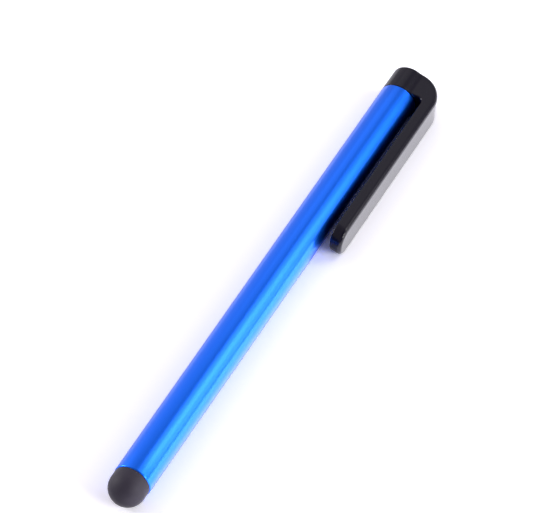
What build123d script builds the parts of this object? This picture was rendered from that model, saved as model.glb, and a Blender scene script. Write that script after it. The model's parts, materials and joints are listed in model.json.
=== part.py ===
from build123d import *
import os
from math import asin, atan2, cos, degrees, hypot, sin

# A stylus pen that lies as it rests on a table: on its tube and on one long edge of its clip.
# +X runs along the pen from the rubber tip to the cap, the clip points towards -Y, and +Z is up.
# The pieces are drawn about the pen's own axis, with X = 0 at the tube's lower end, and placed at the end.
# Millimetres and degrees.

# Tube
tube_diameter = 7.0
tube_length = 99.8
tube_wall = 0.6
tube_end_chamfer = 0.2

# Rubber tip
tip_step = 0.1
tip_skirt_length = 1.55
tip_wall = 0.9
neck_length = 5.0
neck_wall = 0.9
neck_clearance = 0.05

# Insert that holds the tip
grip_length = 8.0
grip_bite = 0.01
grip_chamfer = 0.4
holder_bore = 1.6
stem_setback = 0.4
stem_chamfer = 0.3
barb_height = 0.4
barb_length = 1.0
barb_setback = 1.3

# Cap
cap_height = 5.25
cap_rim_radius = 0.5
plug_length = 8.0
plug_clearance = 0.06
plug_wall = 1.2
plug_chamfer = 0.4
core_rise = 1.5
rib_count = 4
rib_diameter = 0.6
rib_bite = 0.01
rib_setback = 1.0

# Clip
clip_width = 6.0
clip_thickness = 2.4
clip_gap = 1.2
clip_reach = 42.05
clip_nose_radius = 2.8
clip_nose_bevel = 0.7
clip_edge_radius = 0.35
shoulder_radius = 5.5
hook_corner_share = 0.85
root_land = 0.25

# One overrun for every cut
overrun = 1.0

# Worked-out places
tube_radius = tube_diameter / 2
bore_radius = tube_radius - tube_wall
tip_radius = tube_radius - tip_step
tip_length = tip_skirt_length + tip_radius
neck_radius = bore_radius - neck_clearance
stem_radius = neck_radius - neck_wall - neck_clearance
barb_radius = stem_radius + barb_height
plug_radius = bore_radius - plug_clearance
cap_top = tube_length + cap_height
clip_inner = tube_radius + clip_gap
clip_outer = clip_inner + clip_thickness
hook_corner_radius = clip_gap * hook_corner_share
root_x = min(tube_length - hook_corner_radius, cap_top - shoulder_radius) - root_land
arm_length = root_x - (cap_top - clip_reach)
half_width = clip_width / 2

# The rest: the tube's underside and the clip's lower outer edge touch the table
edge_out = clip_outer - clip_edge_radius
edge_side = half_width - clip_edge_radius
rest_roll = asin((tube_radius - clip_edge_radius) / hypot(edge_out, edge_side)) - atan2(edge_side, edge_out)
clip_side_reach = edge_out * cos(rest_roll) + edge_side * sin(rest_roll) + clip_edge_radius
middle_x = (cap_top - tip_length) / 2
middle_y = (tube_radius - clip_side_reach) / 2
place = Pos(-middle_x, -middle_y, tube_radius) * Rot(degrees(rest_roll), 0, 0)


def rod(radius, start, end):
    """A round bar on the pen's axis from start to end."""
    bar = Cylinder(radius, end - start, align=(Align.CENTER, Align.CENTER, Align.MIN))
    return Pos(start, 0, 0) * Rot(0, 90, 0) * bar


def turned(outline):
    """A solid turned about the pen's axis from an outline of (along, radius) points and arcs."""
    return revolve(make_face(outline), Axis.X)


def low_rims(solid):
    """The edges at the end of a turned solid that faces the tip."""
    return solid.edges().group_by(Axis.X)[0]


def high_rims(solid):
    """The edges at the end of a turned solid that faces the cap."""
    return solid.edges().group_by(Axis.X)[-1]


def make_barrel_tube():
    tube = rod(tube_radius, 0, tube_length) - rod(bore_radius, -overrun, tube_length + overrun)
    outer_rims = [rims.sort_by(SortBy.RADIUS)[-1] for rims in (low_rims(tube), high_rims(tube))]
    return chamfer(outer_rims, tube_end_chamfer)


def make_rubber_tip():
    # A hollow dome on a short skirt, and a neck with a groove inside for the insert's barb
    inside = tip_radius - tip_wall
    neck_inside = stem_radius + neck_clearance
    groove = barb_radius + neck_clearance
    groove_start = barb_setback - neck_clearance
    groove_end = barb_setback + barb_length + neck_clearance
    outline = [
        Polyline((neck_length, neck_radius), (0, neck_radius), (0, tip_radius), (-tip_skirt_length, tip_radius)),
        RadiusArc((-tip_skirt_length, tip_radius), (-tip_length, 0), -tip_radius),
        Line((-tip_length, 0), (tip_wall - tip_length, 0)),
        RadiusArc((tip_wall - tip_length, 0), (-tip_skirt_length, inside), inside),
        Polyline((-tip_skirt_length, inside), (0, neck_inside), (groove_start, neck_inside), (groove_start, groove),
                 (groove_end, groove), (groove_end, neck_inside), (neck_length, neck_inside),
                 (neck_length, neck_radius)),
    ]
    return turned(outline)


def make_tip_holder():
    grip_end = neck_length + grip_length
    barb_end = barb_setback + barb_length
    grip = chamfer(high_rims(rod(bore_radius + grip_bite, neck_length, grip_end)), grip_chamfer)
    stem = chamfer(low_rims(rod(stem_radius, stem_setback, neck_length)), stem_chamfer)
    barb = chamfer(low_rims(rod(barb_radius, barb_setback, barb_end)), barb_height)
    return grip + stem + barb - rod(holder_bore / 2, stem_setback - overrun, grip_end + overrun)


def side_profile():
    # The cap and the hook seen from the clip's side, with the round shoulder and the hook's inner corner
    corners = [(tube_length, tube_radius), (cap_top, tube_radius), (cap_top, -clip_outer), (root_x, -clip_outer),
               (root_x, -clip_inner), (tube_length, -clip_inner)]
    face = make_face(Polyline(*corners, close=True))
    shoulder = face.vertices().sort_by_distance((cap_top, -clip_outer))[0]
    face = fillet(shoulder, shoulder_radius)
    inner_corner = face.vertices().sort_by_distance((tube_length, -clip_inner))[0]
    return fillet(inner_corner, hook_corner_radius)


def make_round_head(profile):
    # The cap's round head, cut by the shoulder, with its top rim rounded
    head = rod(tube_radius, tube_length, cap_top) & extrude(profile, tube_radius + overrun, both=True)
    curved = head.edges().filter_by(GeomType.LINE, reverse=True)
    return fillet(curved.filter_by(lambda edge: (edge @ 0.5).X > tube_length + cap_rim_radius), cap_rim_radius)


def make_hook(profile):
    # The bent strip from the middle of the head to the arm's root, with its outer edges rounded
    clip_side = split(profile, Plane.XZ, Keep.TOP)
    hook = extrude(clip_side, half_width, both=True)
    side_edges = hook.edges().filter_by(Axis.Z, reverse=True)
    return fillet(side_edges.filter_by(lambda edge: is_outer(edge @ 0.5)), clip_edge_radius)


def is_outer(point):
    # On the hook's top, its shoulder or its outer face
    return point.X > tube_length + hook_corner_radius or point.Y < clip_edge_radius - clip_outer


def make_clip_cap():
    profile = side_profile()
    head = make_round_head(profile) + make_hook(profile)
    plug_start = tube_length - plug_length
    plug = chamfer(low_rims(rod(plug_radius, plug_start, tube_length)), plug_chamfer)
    crest = Pos(0, bore_radius + rib_bite - rib_diameter / 2, 0)
    for rib in range(rib_count):
        bar = rod(rib_diameter / 2, plug_start + rib_setback, tube_length)
        plug += Rot(360 / rib_count * rib, 0, 0) * crest * bar
    core = rod(plug_radius - plug_wall, plug_start - overrun, tube_length + core_rise)
    return head + plug - core


def make_clip_arm():
    # A flat bar from the hinge line at its root's outer edge, with a blunt round nose that leans in towards the tube
    corners = [(0, 0), (-arm_length, 0), (clip_nose_bevel - arm_length, clip_thickness), (0, clip_thickness)]
    arm = extrude(make_face(Polyline(*corners, close=True)), half_width, both=True)
    front = arm.faces().sort_by(Axis.X)[0]
    arm = fillet(front.edges().filter_by(Axis.Z, reverse=True), clip_nose_radius)
    faces = arm.faces().sort_by(Axis.Y)
    rims = faces[0].edges() + faces[-1].edges()
    rims = rims.filter_by(lambda edge: (edge @ 0.5).X < -clip_edge_radius)
    return Pos(root_x, -clip_outer, 0) * fillet(rims, clip_edge_radius)


pieces = {
    "barrel_tube": make_barrel_tube(),
    "rubber_tip": make_rubber_tip(),
    "tip_holder": make_tip_holder(),
    "clip_cap": make_clip_cap(),
    "clip_arm": make_clip_arm(),
}
os.makedirs("parts", exist_ok=True)
for name, piece in pieces.items():
    export_step(place * piece, f"parts/{name}.step")
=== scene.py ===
import json
import math

import bmesh
import bpy
import numpy as np
from mathutils import Matrix, Vector


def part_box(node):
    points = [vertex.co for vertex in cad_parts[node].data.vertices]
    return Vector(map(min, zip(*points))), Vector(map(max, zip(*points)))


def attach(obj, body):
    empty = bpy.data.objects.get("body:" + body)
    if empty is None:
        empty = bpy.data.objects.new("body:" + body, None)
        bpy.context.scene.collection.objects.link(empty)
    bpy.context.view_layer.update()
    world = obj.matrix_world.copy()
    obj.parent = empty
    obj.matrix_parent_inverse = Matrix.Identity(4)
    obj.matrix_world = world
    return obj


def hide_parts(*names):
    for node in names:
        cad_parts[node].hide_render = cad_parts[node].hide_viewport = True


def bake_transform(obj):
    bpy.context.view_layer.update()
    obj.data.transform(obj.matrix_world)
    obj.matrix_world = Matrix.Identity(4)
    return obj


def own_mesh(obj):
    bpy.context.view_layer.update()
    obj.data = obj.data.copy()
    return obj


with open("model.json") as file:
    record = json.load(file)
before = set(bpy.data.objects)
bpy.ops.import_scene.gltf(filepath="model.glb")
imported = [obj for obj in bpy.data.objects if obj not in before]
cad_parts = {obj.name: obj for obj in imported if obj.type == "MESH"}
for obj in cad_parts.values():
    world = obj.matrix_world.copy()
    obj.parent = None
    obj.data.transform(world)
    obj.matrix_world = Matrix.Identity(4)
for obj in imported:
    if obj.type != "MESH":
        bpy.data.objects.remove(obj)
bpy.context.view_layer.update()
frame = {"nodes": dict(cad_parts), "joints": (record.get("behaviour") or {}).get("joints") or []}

mm = 0.001


# The pen's own directions, read from the frame: along the tube, out through the clip and across the clip
joints = {joint["name"]: joint for joint in frame["joints"]}
tubeLow, tubeHigh = (np.array(corner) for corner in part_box("barrel_tube"))
tubeRadius = (tubeHigh[2] - tubeLow[2]) / 2
axisPoint = np.array([0, *(tubeLow + tubeHigh)[1:] / 2])
alongWay = np.array([1.0, 0.0, 0.0])
acrossWay = np.array(joints["clip_flex"]["axis"])
outWay = np.cross(alongWay, acrossWay)


def toFrame(along, out, across):
    # A place given by its distance along the pen, out towards the clip and across it
    parts = np.broadcast_arrays(along, out, across)
    return axisPoint + sum(part[..., None] * way for part, way in zip(parts, (alongWay, outWay, acrossWay)))


# Meshes

def gridPiece(name, points, material):
    # A skin over points[row, column], with the last column joined to the first and equal points merged
    limits = {"merge": 0.0001 * mm, "sharpAngle": 35}
    rows, columns = points.shape[:2]
    index = np.arange(rows * columns).reshape(rows, columns)
    near, far = index, np.roll(index, -1, axis=1)
    quads = np.stack([near[:-1], near[1:], far[1:], far[:-1]], axis=-1).reshape(-1, 4)
    mesh = bpy.data.meshes.new(name)
    mesh.from_pydata(points.reshape(-1, 3).tolist(), [], quads.tolist())
    mesh.materials.append(material)
    skin = bmesh.new()
    skin.from_mesh(mesh)
    bmesh.ops.remove_doubles(skin, verts=skin.verts, dist=limits["merge"])
    bmesh.ops.recalc_face_normals(skin, faces=skin.faces)
    skin.to_mesh(mesh)
    skin.free()
    mesh.shade_smooth()
    mesh.set_sharp_from_angle(angle=math.radians(limits["sharpAngle"]))
    piece = bpy.data.objects.new(name, mesh)
    bpy.context.scene.collection.objects.link(piece)
    return piece


def turned(profile, columns):
    # Each (along, radius) point of the profile carried once round the pen's axis
    along, radius = profile.T
    angle = np.linspace(0, 2 * np.pi, columns, endpoint=False)
    return toFrame(along[:, None], radius[:, None] * np.cos(angle), radius[:, None] * np.sin(angle))


def arc(centre, radius, start, end, steps):
    # Points on a circle about a centre, from one angle to the other in degrees
    angle = np.radians(np.linspace(start, end, steps))
    return np.stack([centre[0] + radius * np.cos(angle), centre[1] + radius * np.sin(angle)], axis=-1)


# Materials

def linear(hexColour):
    # sRGB hex to the linear colour that a shader takes
    shares = np.array([int(hexColour[i:i + 2], 16) for i in (0, 2, 4)]) / 255
    curve = np.where(shares <= 0.04045, shares / 12.92, ((shares + 0.055) / 1.055) ** 2.4)
    return (*curve.tolist(), 1.0)


def addNode(tree, kind, inputs=None, **settings):
    # One node with its settings, and its inputs set or linked. Inputs that share a name go by number:
    # a Mix node's two colours are inputs 6 and 7, and its mixed colour is output 2.
    node = tree.nodes.new(kind)
    for name, value in settings.items():
        setattr(node, name, value)
    for socket, value in (inputs or {}).items():
        if isinstance(value, bpy.types.NodeSocket):
            tree.links.new(value, node.inputs[socket])
        else:
            node.inputs[socket].default_value = value
    return node


def newMaterial(name, **sockets):
    # A material with one shader whose plain sockets are set here
    material = bpy.data.materials.new(name)
    material.use_nodes = True
    shader = material.node_tree.nodes["Principled BSDF"]
    for socket, value in sockets.items():
        shader.inputs[socket.replace("_", " ")].default_value = value
    return material, material.node_tree, shader


def anodisedAluminium():
    # Blue dyed oxide on a drawn tube: satin metal under a clear skin, with faint lines along the draw.
    # Real draw lines are finer, and these are as wide as they need to be to show.
    look = {"dye": "0074ff", "deepDye": "006dfc", "lineLength": 14 * mm, "lineWidth": 0.12 * mm,
            "smoothest": 0.27, "roughest": 0.33, "relief": 0.06, "depth": 0.004 * mm}
    material, tree, shader = newMaterial("anodised_drawn_aluminium", Metallic=1.0, Coat_Weight=0.42,
                                         Coat_IOR=1.5, Coat_Roughness=0.22)
    place = addNode(tree, "ShaderNodeTexCoord").outputs["Object"]
    stretch = (1 / look["lineLength"], 1 / look["lineWidth"], 1 / look["lineWidth"])
    lines = addNode(tree, "ShaderNodeMapping", {"Vector": place, "Scale": stretch}).outputs["Vector"]
    grain = addNode(tree, "ShaderNodeTexNoise", {"Vector": lines, "Scale": 1.0, "Detail": 3.0}).outputs["Fac"]
    tint = addNode(tree, "ShaderNodeMix", {"Factor": grain, 6: linear(look["deepDye"]),
                                           7: linear(look["dye"])}, data_type="RGBA")
    rough = addNode(tree, "ShaderNodeMapRange", {"Value": grain, "To Min": look["smoothest"],
                                                 "To Max": look["roughest"]})
    bump = addNode(tree, "ShaderNodeBump", {"Height": grain, "Strength": look["relief"],
                                            "Distance": look["depth"]})
    tree.links.new(tint.outputs[2], shader.inputs["Base Color"])
    tree.links.new(rough.outputs["Result"], shader.inputs["Roughness"])
    tree.links.new(bump.outputs["Normal"], shader.inputs["Normal"])
    return material


def mouldedAbs():
    # Black ABS from a polished mould: near-black with a soft shine and a very fine orange-peel skin
    look = {"black": "070512", "greyed": "0d0a1a", "smoothest": 0.18, "roughest": 0.26,
            "peel": 0.4 * mm, "peelRelief": 0.5, "peelDepth": 0.01 * mm,
            "grain": 0.09 * mm, "grainRelief": 0.1, "grainDepth": 0.002 * mm}
    material, tree, shader = newMaterial("moulded_black_abs", IOR=1.34)
    place = addNode(tree, "ShaderNodeTexCoord").outputs["Object"]
    peel = addNode(tree, "ShaderNodeTexNoise", {"Vector": place, "Scale": 1 / look["peel"],
                                                "Detail": 1.0}).outputs["Fac"]
    grain = addNode(tree, "ShaderNodeTexNoise", {"Vector": place, "Scale": 1 / look["grain"],
                                                 "Detail": 2.0}).outputs["Fac"]
    tint = addNode(tree, "ShaderNodeMix", {"Factor": grain, 6: linear(look["black"]),
                                           7: linear(look["greyed"])}, data_type="RGBA")
    rough = addNode(tree, "ShaderNodeMapRange", {"Value": peel, "To Min": look["smoothest"],
                                                 "To Max": look["roughest"]})
    waves = addNode(tree, "ShaderNodeBump", {"Height": peel, "Strength": look["peelRelief"],
                                             "Distance": look["peelDepth"]})
    bump = addNode(tree, "ShaderNodeBump", {"Height": grain, "Strength": look["grainRelief"],
                                            "Distance": look["grainDepth"],
                                            "Normal": waves.outputs["Normal"]})
    tree.links.new(tint.outputs[2], shader.inputs["Base Color"])
    tree.links.new(rough.outputs["Result"], shader.inputs["Roughness"])
    tree.links.new(bump.outputs["Normal"], shader.inputs["Normal"])
    return material


def softRubber():
    # Conductive silicone rubber from a matt mould: charcoal, no shine, a fine dusty grain, paler at the rim
    look = {"charcoal": "201a29", "dusty": "272130", "grain": 0.16 * mm, "speck": 0.06 * mm,
            "smoothest": 0.6, "roughest": 0.7, "relief": 0.25, "depth": 0.012 * mm}
    material, tree, shader = newMaterial("matt_moulded_rubber", IOR=1.45, Sheen_Weight=0.4,
                                         Sheen_Roughness=0.3)
    place = addNode(tree, "ShaderNodeTexCoord").outputs["Object"]
    grain = addNode(tree, "ShaderNodeTexNoise", {"Vector": place, "Scale": 1 / look["grain"],
                                                 "Detail": 3.0}).outputs["Fac"]
    speck = addNode(tree, "ShaderNodeTexNoise", {"Vector": place, "Scale": 1 / look["speck"],
                                                 "Detail": 2.0}).outputs["Fac"]
    tint = addNode(tree, "ShaderNodeMix", {"Factor": grain, 6: linear(look["charcoal"]),
                                           7: linear(look["dusty"])}, data_type="RGBA")
    rough = addNode(tree, "ShaderNodeMapRange", {"Value": speck, "To Min": look["smoothest"],
                                                 "To Max": look["roughest"]})
    bump = addNode(tree, "ShaderNodeBump", {"Height": speck, "Strength": look["relief"],
                                            "Distance": look["depth"]})
    tree.links.new(tint.outputs[2], shader.inputs["Base Color"])
    tree.links.new(rough.outputs["Result"], shader.inputs["Roughness"])
    tree.links.new(bump.outputs["Normal"], shader.inputs["Normal"])
    return material


def insertPlastic():
    # Carbon-filled plastic from a plain mould: dull dark grey, hidden inside the tube
    look = {"grey": "24242a", "pale": "303038", "grain": 0.2 * mm, "smoothest": 0.5, "roughest": 0.65}
    material, tree, shader = newMaterial("carbon_filled_plastic", IOR=1.5)
    place = addNode(tree, "ShaderNodeTexCoord").outputs["Object"]
    grain = addNode(tree, "ShaderNodeTexNoise", {"Vector": place, "Scale": 1 / look["grain"],
                                                 "Detail": 3.0}).outputs["Fac"]
    tint = addNode(tree, "ShaderNodeMix", {"Factor": grain, 6: linear(look["grey"]),
                                           7: linear(look["pale"])}, data_type="RGBA")
    rough = addNode(tree, "ShaderNodeMapRange", {"Value": grain, "To Min": look["smoothest"],
                                                 "To Max": look["roughest"]})
    tree.links.new(tint.outputs[2], shader.inputs["Base Color"])
    tree.links.new(rough.outputs["Result"], shader.inputs["Roughness"])
    return material


# Tube

def makeTube():
    # A closed ring profile turned round the axis: bore, cut ends with rounded edges, and the outer wall
    tube = {"wall": 0.6 * mm, "edge": 0.2 * mm, "columns": 160, "wallRows": 24, "edgeRows": 9}
    low, high = tubeLow[0], tubeHigh[0]
    bore, edge = tubeRadius - tube["wall"], tube["edge"]
    along = np.linspace(low + edge, high - edge, tube["wallRows"])
    wall = np.stack([along, np.full(along.size, tubeRadius)], axis=-1)
    lowEdge = arc((low + edge, tubeRadius - edge), edge, 180, 90, tube["edgeRows"])
    highEdge = arc((high - edge, tubeRadius - edge), edge, 90, 0, tube["edgeRows"])
    profile = np.vstack([[(low, bore)], lowEdge, wall, highEdge, [(high, bore), (low, bore)]])
    piece = gridPiece("tubeShell", turned(profile, tube["columns"]), anodisedAluminium())
    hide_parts("barrel_tube")
    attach(piece, "barrel")
    print("tube: dyed wall with rounded ends")


# Rubber tip

def makeTip():
    # A dome and skirt turned round the axis, with the neck that sits in the tube
    tip = {"step": 0.1 * mm, "skirt": 1.55 * mm, "edge": 0.12 * mm, "neckLength": 5.0 * mm,
           "neckGap": 0.65 * mm, "columns": 128, "lipRows": 7, "domeRows": 48}
    seat = tubeLow[0]
    radius, edge = tubeRadius - tip["step"], tip["edge"]
    neck, neckEnd = tubeRadius - tip["neckGap"], seat + tip["neckLength"]
    lip = arc((seat - edge, radius - edge), edge, 0, 90, tip["lipRows"])
    dome = arc((seat - tip["skirt"], 0), radius, 90, 180, tip["domeRows"])
    dome[-1, 1] = 0
    profile = np.vstack([[(neckEnd, 0), (neckEnd, neck), (seat, neck)], lip, dome])
    piece = gridPiece("rubberDome", turned(profile, tip["columns"]), softRubber())
    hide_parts("rubber_tip")
    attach(piece, "barrel")
    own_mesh(piece)


# Cap and clip

def bend(run, turnStart, radius, start):
    # A side line that runs out level, turns down round an arc and runs on straight: the places along and out
    # for a length of run
    angle = np.clip((run - turnStart) / radius, 0, np.pi / 2)
    straight = np.maximum(run - turnStart - radius * np.pi / 2, 0)
    along = start - radius * (1 - np.cos(angle)) - straight
    return along, np.minimum(run, turnStart) + radius * np.sin(angle)


def surface(run, across, turn, radius, start):
    # Points on a ribbon that follows the bent side line
    along, out = bend(run, turn, radius, start)
    return np.stack([along, out, across], axis=-1)


def flat(inset, noseStart, shares, *shape):
    # The flat between the ribbon's middle line and its rounded edge, in a fan at the nose
    middle = np.minimum(inset[:, :1], noseStart)
    return surface(middle + (inset[:, :1] - middle) * shares, inset[:, 1:] * shares, *shape)


def ease(share):
    # A smooth step from 0 to 1: three times the share's square, less twice its cube
    share = np.clip(share, 0, 1)
    return share * share * (3 - 2 * share)


def rounded(start, corner, end, steps):
    # A round corner: the conic arc from start to end that is held by the corner point, a circle where the
    # corner is square
    share = np.linspace(0, 1, steps)[None, :, None]
    weights = (1 - share) ** 2, math.sqrt(2) * share * (1 - share), share ** 2
    points = weights[0] * start[:, None] + weights[1] * corner[:, None] + weights[2] * end[:, None]
    return points / sum(weights)


def spread(start, end, steps):
    # Straight lines from start to end, without their ends
    share = np.linspace(0, 1, steps + 2)[1:-1, None]
    return start[:, None] + (end - start)[:, None] * share


def makeCapAndClip():
    # One moulding: a ribbon over the round cap, the shoulder and the clip, given thickness towards the tube.
    # Its outline is a circle, a hollow fillet, a straight side, a round nose and a short front, and each
    # station of the outline has an outer point, an inner point and a rounded section between them.
    cap = {"height": 5.25 * mm, "shoulder": 5.5 * mm, "rim": 0.5 * mm, "seamEdge": 0.07 * mm,
           "blend": 3.0 * mm}
    clip = {"width": 6.0 * mm, "thickness": 2.4 * mm, "reach": 42.15 * mm, "nose": 2.8 * mm, "lean": 0.5 * mm,
            "edge": 0.7 * mm, "innerEdge": 0.25 * mm, "corner": 1.1 * mm, "stiff": 1.5 * mm, "supple": 6 * mm}
    grid = {"circle": 60, "blend": 14, "hook": 56, "arm": 60, "nose": 28, "front": 14,
            "face": 9, "round": 9, "side": 7}
    root = np.array(joints["clip_flex"]["pos_m"])
    seat = tubeHigh[0]
    top, half = seat + cap["height"], clip["width"] / 2
    clipOut = (root - axisPoint) @ outWay
    clipIn = clipOut - clip["thickness"]
    outerTurn, innerTurn = clipOut - cap["shoulder"], clipIn - clip["corner"]
    outerHookEnd = outerTurn + cap["shoulder"] * np.pi / 2
    innerHookEnd = innerTurn + clip["corner"] * np.pi / 2
    noseStart = top - clip["reach"] + clip["nose"]
    outerNose = outerHookEnd + top - cap["shoulder"] - noseStart
    innerNose = innerHookEnd + seat - clip["corner"] - noseStart - clip["lean"]

    # Stations on half of the outline: how far along the ribbon each lies, on its outer and its inner side
    blendOut = math.sqrt((tubeRadius + cap["blend"]) ** 2 - (half + cap["blend"]) ** 2)
    meet = math.atan2(half + cap["blend"], blendOut)
    circle = np.linspace(np.pi, meet, grid["circle"])
    hollow = np.linspace(meet - np.pi, -np.pi / 2, grid["blend"])[1:]
    hook = np.linspace(0, 1, grid["hook"])[1:]
    arm = np.linspace(0, 1, grid["arm"])[1:]
    nose = np.linspace(0, np.pi / 2, grid["nose"])[1:]
    front = np.linspace(0, 1, grid["front"])[1:]
    level = np.concatenate([tubeRadius * np.cos(circle), blendOut + cap["blend"] * np.cos(hollow)])
    noseRun = clip["nose"] * np.concatenate([np.sin(nose), np.ones(front.size)])
    outerRun = np.concatenate([level, blendOut + (outerHookEnd - blendOut) * hook,
                               outerHookEnd + (outerNose - outerHookEnd) * arm, outerNose + noseRun])
    innerRun = np.concatenate([level, blendOut + (innerHookEnd - blendOut) * hook,
                               innerHookEnd + (innerNose - innerHookEnd) * arm, innerNose + noseRun])

    # Half the ribbon's width at each station
    straight = np.full(hook.size + arm.size, half)
    frontHalf = half - clip["nose"]
    width = np.concatenate([tubeRadius * np.sin(circle), half + cap["blend"] * (1 + np.sin(hollow)), straight,
                            frontHalf + clip["nose"] * np.cos(nose), frontHalf * (1 - front)])

    # The way in from the edge: to the circle's middle, then square to the hollow fillet, side, nose and front
    inward = np.vstack([-np.stack([np.cos(circle), np.sin(circle)], axis=-1),
                        np.stack([np.cos(hollow), np.sin(hollow)], axis=-1),
                        np.tile([0.0, -1.0], (straight.size, 1)),
                        -np.stack([np.sin(nose), np.cos(nose)], axis=-1),
                        np.tile([-1.0, 0.0], (front.size, 1))])

    # The edges' rounding grows from the cap's to the clip's along the hook
    along = np.concatenate([np.zeros(level.size), hook, np.ones(arm.size + noseRun.size)])
    topRound = cap["rim"] + (clip["edge"] - cap["rim"]) * ease(along)
    lowRound = cap["seamEdge"] + (clip["innerEdge"] - cap["seamEdge"]) * ease(2 * along)

    outer = (outerTurn, cap["shoulder"], top)
    inner = (innerTurn, clip["corner"], seat)
    outerEdge, innerEdge = surface(outerRun, width, *outer), surface(innerRun, width, *inner)
    outerIn = np.stack([outerRun, width], -1) + topRound[:, None] * inward
    innerIn = np.stack([innerRun, width], -1) + lowRound[:, None] * inward
    outerIn[[0, -1], 1] = innerIn[[0, -1], 1] = 0
    outerEdge[[0, -1], 2] = innerEdge[[0, -1], 2] = 0
    down = innerEdge - outerEdge
    down /= np.linalg.norm(down, axis=-1, keepdims=True)
    shares = np.linspace(0, 1, grid["face"])[None, :]
    face = flat(outerIn, outerNose, shares, *outer)
    back = flat(innerIn, innerNose, 1 - shares, *inner)
    sideTop = outerEdge + topRound[:, None] * down
    sideLow = innerEdge - lowRound[:, None] * down
    oneSide = np.concatenate([
        face[:, :-1], rounded(face[:, -1], outerEdge, sideTop, grid["round"]),
        spread(sideTop, sideLow, grid["side"]),
        rounded(sideLow, innerEdge, back[:, 0], grid["round"]), back[:, 1:]], axis=1)
    otherSide = oneSide[:, -2:0:-1] * [1, 1, -1]
    skin = np.concatenate([oneSide, otherSide], axis=1)
    piece = gridPiece("capAndClip", toFrame(skin[..., 0], skin[..., 1], skin[..., 2]), mouldedAbs())
    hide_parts("clip_cap", "clip_arm")
    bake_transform(piece)


# Insert

def finishInsert():
    frame["nodes"]["tip_holder"].data.materials.clear()
    frame["nodes"]["tip_holder"].data.materials.append(insertPlastic())
    print("insert: dull plastic inside the tube")


# Studio

def makeFloor():
    # A plain white matt table top, brighter to the camera than it lights the pen. Its reflections carry
    # painted
    # light: they show its open part on the clip's side brighter still, standing in for stronger light from
    # that side, from a line beside the tube, which steps out under the clip where the nose begins, and over
    # the width of a fade.
    table = {"size": 6.0, "white": "f4f4f8", "shade": "f2f2f7", "cloud": 60 * mm, "seen": 1.43,
             "paintedReflectionGain": 2.15, "nose": (10 * mm, 13 * mm), "line": (-1.2 * mm, -3.4 * mm), "fade": -2 * mm}
    material = bpy.data.materials.new("white_matt_table")
    material.use_nodes = True
    tree = material.node_tree
    tree.nodes.clear()
    place = addNode(tree, "ShaderNodeTexCoord").outputs["Object"]
    cloud = addNode(tree, "ShaderNodeTexNoise", {"Vector": place, "Scale": 1 / table["cloud"], "Detail": 1.0})
    tint = addNode(tree, "ShaderNodeMix", {"Factor": cloud.outputs["Fac"], 6: linear(table["shade"]),
                                           7: linear(table["white"])}, data_type="RGBA")

    # Rays that come off a shiny surface and met no matt one before
    ray = addNode(tree, "ShaderNodeLightPath").outputs
    mirror = addNode(tree, "ShaderNodeMath", {0: ray["Is Glossy Ray"], 1: ray["Is Transmission Ray"]},
                     operation="MAXIMUM")
    direct = addNode(tree, "ShaderNodeMath", {0: ray["Diffuse Depth"], 1: 0.5}, operation="LESS_THAN")
    inMirror = addNode(tree, "ShaderNodeMath", {0: mirror.outputs[0], 1: direct.outputs[0]},
                       operation="MULTIPLY")

    # The table's brightness to the camera, its painted brightness in reflections, and its brightness as a
    # light
    seen = addNode(tree, "ShaderNodeMath", {0: ray["Is Camera Ray"], 1: table["seen"] - 1, 2: 1.0},
                   operation="MULTIPLY_ADD")
    axes = addNode(tree, "ShaderNodeSeparateXYZ", {"Vector": place}).outputs
    # Painted reflection: beyond the line on the clip's side the table's mirror image is lifted over the fade,
    # and on the far side it is not
    line = addNode(tree, "ShaderNodeMapRange", {"Value": axes["X"], "From Min": table["nose"][0],
                                                "From Max": table["nose"][1], "To Min": table["line"][0],
                                                "To Max": table["line"][1]})
    away = addNode(tree, "ShaderNodeMath", {0: axes["Y"], 1: line.outputs["Result"]}, operation="SUBTRACT")
    paintedReflectionLift = addNode(tree, "ShaderNodeMapRange", {"Value": away.outputs[0], "From Max": table["fade"],
                                                "To Max": table["paintedReflectionGain"]})
    gain = addNode(tree, "ShaderNodeMath", {0: inMirror.outputs[0], 1: paintedReflectionLift.outputs["Result"],
                                            2: seen.outputs[0]}, operation="MULTIPLY_ADD")
    bright = addNode(tree, "ShaderNodeVectorMath", {0: tint.outputs[2], "Scale": gain.outputs[0]},
                     operation="SCALE")
    skin = addNode(tree, "ShaderNodeBsdfDiffuse", {"Color": bright.outputs[0]})
    addNode(tree, "ShaderNodeOutputMaterial", {"Surface": skin.outputs[0]})
    reach = table["size"] / 2
    mesh = bpy.data.meshes.new("floor")
    mesh.from_pydata([(-reach, -reach, 0), (reach, -reach, 0), (reach, reach, 0), (-reach, reach, 0)], [],
                     [(0, 1, 2, 3)])
    mesh.materials.append(material)
    floor = bpy.data.objects.new("floor", mesh)
    bpy.context.scene.collection.objects.link(floor)
    print("floor: white matt table")


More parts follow.
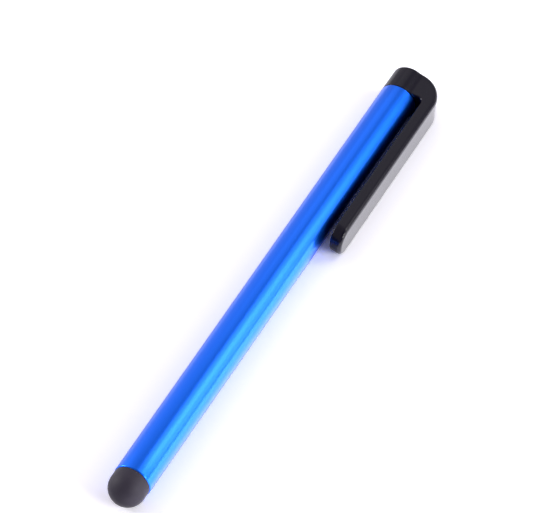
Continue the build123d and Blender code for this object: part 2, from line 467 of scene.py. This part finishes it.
def makeWorld():
    # A dim studio with four soft glows, each a lobe that fades away from its middle: on the far side of the
    # pen, on the clip's side, high at the cap's end and beyond the tip. The camera sees it as plain white.
    glows = {"farSide": {"middle": (0.1, 0.9, 0.42), "radiance": 1.36},
             "clipSide": {"middle": (0.1, -0.9, 0.42), "radiance": 0.5},
             "highAtCap": {"middle": (0.6, 0.0, 0.8), "radiance": 0.52},
             "beyondTip": {"middle": (-0.9, 0.0, 0.42), "radiance": 0.45}}
    studio = {"fade": 4.0, "fill": 0.04, "tint": "faf4ff", "seen": "ffffff"}
    world = bpy.data.worlds.new("studio")
    bpy.context.scene.world = world
    world.use_nodes = True
    tree = world.node_tree
    way = addNode(tree, "ShaderNodeTexCoord").outputs["Generated"]
    total = studio["fill"]
    for glow in glows.values():
        facing = addNode(tree, "ShaderNodeVectorMath", {0: way, 1: glow["middle"]}, operation="DOT_PRODUCT")
        front = addNode(tree, "ShaderNodeMath", {0: facing.outputs["Value"], 1: 0.0}, operation="MAXIMUM")
        lobe = addNode(tree, "ShaderNodeMath", {0: front.outputs[0], 1: studio["fade"]}, operation="POWER")
        total = addNode(tree, "ShaderNodeMath", {0: lobe.outputs[0], 1: glow["radiance"], 2: total},
                        operation="MULTIPLY_ADD").outputs[0]
    light = addNode(tree, "ShaderNodeVectorMath", {0: linear(studio["tint"])[:3], "Scale": total},
                    operation="SCALE")
    ray = addNode(tree, "ShaderNodeLightPath").outputs
    shown = addNode(tree, "ShaderNodeMix", {"Factor": ray["Is Camera Ray"], 6: light.outputs[0],
                                            7: linear(studio["seen"])}, data_type="RGBA")
    tree.links.new(shown.outputs[2], tree.nodes["Background"].inputs["Color"])
    print("world:", len(glows), "soft glows")


def softbox(name, centre, aim, size, radiance, up):
    # A soft lamp at a place, turned towards another, with its second size along up and a face that bright
    lamp = bpy.data.lights.new(name, "AREA")
    lamp.shape = "RECTANGLE"
    lamp.size, lamp.size_y = size
    lamp.energy = radiance * math.pi * size[0] * size[1]
    box = bpy.data.objects.new(name, lamp)
    facing = (centre - aim).normalized()
    side = up.cross(facing).normalized()
    turn = Matrix((side, facing.cross(side), facing)).transposed()
    box.matrix_world = Matrix.Translation(centre) @ turn.to_4x4()
    box.visible_camera = False
    bpy.context.scene.collection.objects.link(box)


def makeLights():
    # A narrow window of three panes that the tube mirrors as a bright band near the tip, a weak panel that it
    # mirrors near the cap, and low boxes on both sides and beyond the cap. Each lamp stands off a spot on the
    # pen's axis, at a distance and in a way, and faces it. Distances and sizes are in metres.
    pane = {"spot": -54 * mm, "distance": 0.45, "size": (0.11, 0.145)}
    sideBox = {"spot": 0, "distance": 0.9, "size": (0.5, 0.1)}
    lamps = {"windowHigh": {**pane, "way": (0.592, -0.328, 0.736), "radiance": 1.8},
             "windowMiddle": {**pane, "way": (0.592, -0.580, 0.560), "radiance": 4.4},
             "windowLow": {**pane, "way": (0.592, -0.752, 0.289), "radiance": 2.7},
             "capPanel": {"spot": 40 * mm, "distance": 0.35, "size": (0.11, 0.18),
                          "way": (0.592, 0.302, 0.747), "radiance": 0.45},
             "clipSideBox": {**sideBox, "way": (-0.1, -0.92, 0.38), "radiance": 39.0},
             "farSideBox": {**sideBox, "way": (-0.1, 0.92, 0.38), "radiance": 28.4},
             "capEndBox": {**sideBox, "size": (0.5, 0.4), "way": (0.9, -0.3, 0.31), "radiance": 1.5}}
    for name, lamp in lamps.items():
        spot, way = Vector((lamp["spot"], 0, 0)), Vector(lamp["way"])
        up = Vector(alongWay).cross(way)
        softbox(name, spot + lamp["distance"] * way, spot, lamp["size"], lamp["radiance"], up)
    print("lights:", len(lamps), "soft lamps")


def makeCamera():
    # The photo's view: from beyond the tip, on the clip's side and well above the table
    shot = {"azimuth": 207.54, "elevation": 48.15, "distance": 908.3 * mm,
            "target": (8.78 * mm, 5.5 * mm, 0.0), "lens": 339.0, "sensor": 36.0}
    azimuth, elevation = math.radians(shot["azimuth"]), math.radians(shot["elevation"])
    back = Vector((math.cos(elevation) * math.cos(azimuth), math.cos(elevation) * math.sin(azimuth),
                   math.sin(elevation)))
    lens = bpy.data.cameras.new("photoView")
    lens.lens, lens.sensor_width = shot["lens"], shot["sensor"]
    camera = bpy.data.objects.new("photoView", lens)
    camera.location = Vector(shot["target"]) + back * shot["distance"]
    camera.rotation_euler = (-back).to_track_quat("-Z", "Y").to_euler()
    bpy.context.scene.collection.objects.link(camera)
    bpy.context.scene.camera = camera
    print("camera: the photo's view")


makeTube()
makeTip()
makeCapAndClip()
finishInsert()
makeFloor()
makeWorld()
makeLights()
makeCamera()
bpy.context.scene.view_settings.view_transform = "Standard"
